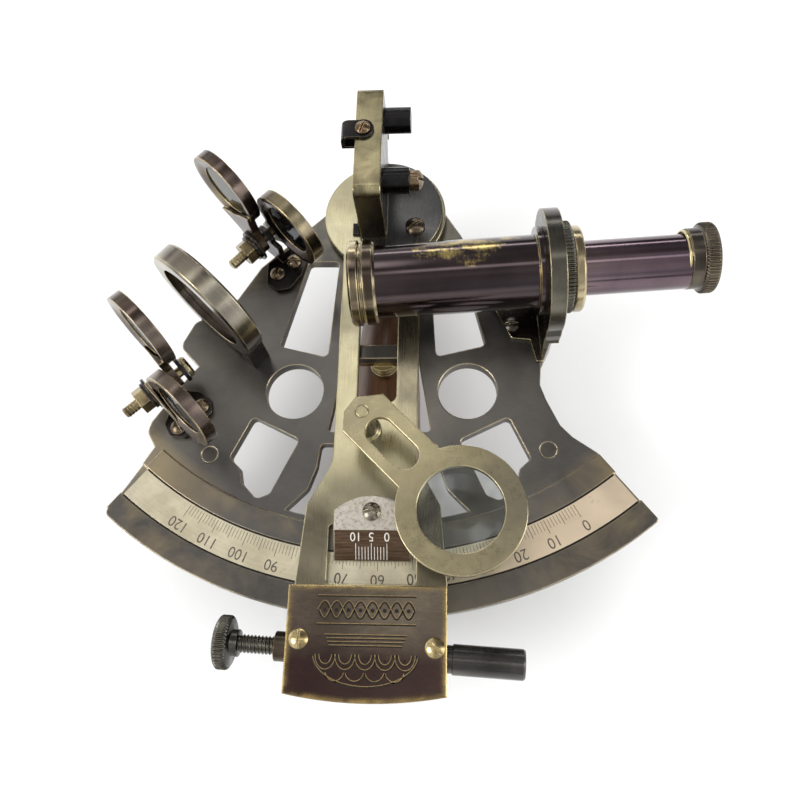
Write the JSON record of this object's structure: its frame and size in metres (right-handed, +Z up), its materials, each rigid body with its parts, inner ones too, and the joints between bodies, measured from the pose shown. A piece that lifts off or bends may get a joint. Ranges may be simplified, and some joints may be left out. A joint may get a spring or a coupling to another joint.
{
  "type": "nautical sextant",
  "caption": "Small brass nautical sextant with pivoting index arm, mirrors, swinging shade glasses, telescope, magnifier, tangent screw and clamp.",
  "frame": {"origin": "on the index arm's pivot axis, at the table plane under the feet (the tip of the apex foot)", "axes": "+Z up out of the table, along the pivot axis; +Y from the graduated arc towards the apex; +X from the shades towards the eyepiece"},
  "size_m": [0.1416, 0.1426, 0.0621],
  "materials": {
    "bronze_dark": "satin dark bronze with bright worn edges",
    "cover_bronze": "satin, engraved, worn brass at the edges",
    "brass_olive": "brushed aged brass",
    "scale_silver": "fine brushed, graduated",
    "brass_turned": "turned, satin",
    "brass_screw": "polished",
    "black_oxide": "blackened brass, satin",
    "shade_bronze": "blackened, worn to brass at the edges",
    "tube_bronze": "polished dark bronze lacquer, worn",
    "steel": "satin",
    "spring_steel": "drawn wire",
    "walnut": "oiled, turned",
    "lens_glass": "polished",
    "mirror_silvered": "polished, silvered",
    "filter_olive": "polished, coloured in the mass",
    "filter_black": "polished, coloured in the mass",
    "filter_pale": "polished, coloured in the mass"
  },
  "bodies": {
    "frame": {"frame_plate": "bronze_dark", "arc_scale": "scale_silver", "front_feet": "brass_turned", "pivot_cap": "brass_turned", "frame_back_screws": "brass_screw", "pivot_bush": "brass_turned", "handle_grip": "walnut", "handle_pillars": "brass_turned", "handle_screws": "brass_screw", "index_shade_bracket": "bronze_dark", "horizon_shade_bracket": "bronze_dark", "bracket_screws": "brass_screw", "shade_bolts": "brass_turned", "shade_nuts": "brass_turned", "shade_washers": "brass_turned", "horizon_mirror_post": "black_oxide", "horizon_mirror_ring": "bronze_dark", "horizon_mirror_glass": "mirror_silvered", "telescope_bracket": "bronze_dark", "telescope_tube": "tube_bronze", "objective_cell": "brass_turned", "objective_lens": "lens_glass", "telescope_lock_ring": "black_oxide", "focus_collar": "brass_turned"},
    "clamp": {"clamp_block": "black_oxide", "clamp_shoe": "steel"},
    "clamp_knob": {"clamp_screw": "black_oxide"},
    "arm": {"index_arm": "brass_olive", "pivot_pin": "steel", "pivot_nut": "steel", "vernier_plate": "scale_silver", "tangent_box": "bronze_dark", "tangent_cover": "cover_bronze", "arm_slotted_screws": "brass_screw", "spring_tube": "black_oxide", "tangent_spring": "spring_steel", "index_mirror_bracket": "bronze_dark", "index_mirror_frame": "brass_olive", "index_mirror_glass": "mirror_silvered", "mirror_clips": "black_oxide", "mirror_foot_screws": "brass_screw", "mirror_adjust_barrels": "black_oxide", "magnifier_post": "brass_olive"},
    "pad": {"tangent_pad": "steel"},
    "tangent_knob": {"tangent_screw": "black_oxide"},
    "plunger": {"tangent_plunger": "steel"},
    "magnifier": {"magnifier_arm": "brass_olive", "magnifier_lens": "lens_glass"},
    "mirror_trim": {"mirror_adjust_screw": "brass_screw"},
    "index_shade_a": {"index_shade_a_ring": "shade_bronze", "index_shade_a_glass": "filter_olive"},
    "index_shade_b": {"index_shade_b_ring": "shade_bronze", "index_shade_b_glass": "filter_black"},
    "horizon_shade_a": {"horizon_shade_a_ring": "shade_bronze", "horizon_shade_a_glass": "filter_pale"},
    "horizon_shade_b": {"horizon_shade_b_ring": "shade_bronze", "horizon_shade_b_glass": "filter_black"},
    "eyepiece": {"draw_tube": "tube_bronze", "eyepiece_cap": "black_oxide", "eyepiece_lens": "lens_glass"}
  },
  "joints": [
    {"name": "arm_swing", "type": "hinge", "parent": "frame", "child": "clamp", "pos_m": [0, 0, 0.03], "axis": [0, 0, 1], "range_deg": [-22, 29.5]},
    {"name": "fine_adjust", "type": "hinge", "parent": "clamp", "child": "arm", "pos_m": [0, 0, 0.03], "axis": [0, 0, 1], "range_deg": [-1, 1]},
    {"name": "tangent_pad_slide", "type": "slide", "parent": "arm", "child": "pad", "axis": [0.9986, -0.0523, 0], "range_m": [-0.00192, 0.00192]},
    {"name": "tangent_screw_turn", "type": "hinge", "parent": "pad", "child": "tangent_knob", "pos_m": [0, -0.1098, 0.0336], "axis": [0.9986, -0.0523, 0], "range_deg": [-862, 862]},
    {"name": "plunger_slide", "type": "slide", "parent": "arm", "child": "plunger", "axis": [0.9986, -0.0523, 0], "range_m": [-0.00192, 0.00192], "deforming": ["tangent_spring"]},
    {"name": "clamp_screw_turn", "type": "hinge", "parent": "clamp", "child": "clamp_knob", "pos_m": [0, -0.0996, 0.013], "axis": [0, 0, 1], "range_deg": [-180, 0]},
    {"name": "magnifier_swing", "type": "hinge", "parent": "arm", "child": "magnifier", "pos_m": [-0.00235, -0.05945, 0.0454], "axis": [0, 0, 1], "range_deg": [-40, 25]},
    {"name": "mirror_adjust_turn", "type": "hinge", "parent": "arm", "child": "mirror_trim", "pos_m": [0.00736, -0.0007, 0.0485], "axis": [1, 0, 0], "range_deg": [-90, 90]},
    {"name": "index_shade_a_swing", "type": "hinge", "parent": "frame", "child": "index_shade_a", "pos_m": [-0.03151, -0.01082, 0.038], "axis": [0.6858, 0.7278, 0], "range_deg": [-40, 31]},
    {"name": "index_shade_b_swing", "type": "hinge", "parent": "frame", "child": "index_shade_b", "pos_m": [-0.02809, -0.00718, 0.038], "axis": [0.6858, 0.7278, 0], "range_deg": [-41, 24]},
    {"name": "horizon_shade_a_swing", "type": "hinge", "parent": "frame", "child": "horizon_shade_a", "pos_m": [-0.04914, -0.04763, 0.038], "axis": [0.7431, 0.6691, 0], "range_deg": [-42, 20]},
    {"name": "horizon_shade_b_swing", "type": "hinge", "parent": "frame", "child": "horizon_shade_b", "pos_m": [-0.05286, -0.05097, 0.038], "axis": [0.7431, 0.6691, 0], "range_deg": [-40, 5]},
    {"name": "focus_slide", "type": "slide", "parent": "frame", "child": "eyepiece", "axis": [0.998, 0.0628, 0], "range_m": [-0.008, 0.01]}
  ],
  "couplings": [
    {"joint": "tangent_pad_slide", "follows": "fine_adjust", "m_per_rad": -0.10965},
    {"joint": "plunger_slide", "follows": "fine_adjust", "m_per_rad": -0.10965},
    {"joint": "tangent_screw_turn", "follows": "fine_adjust", "ratio": -861.19}
  ]
}
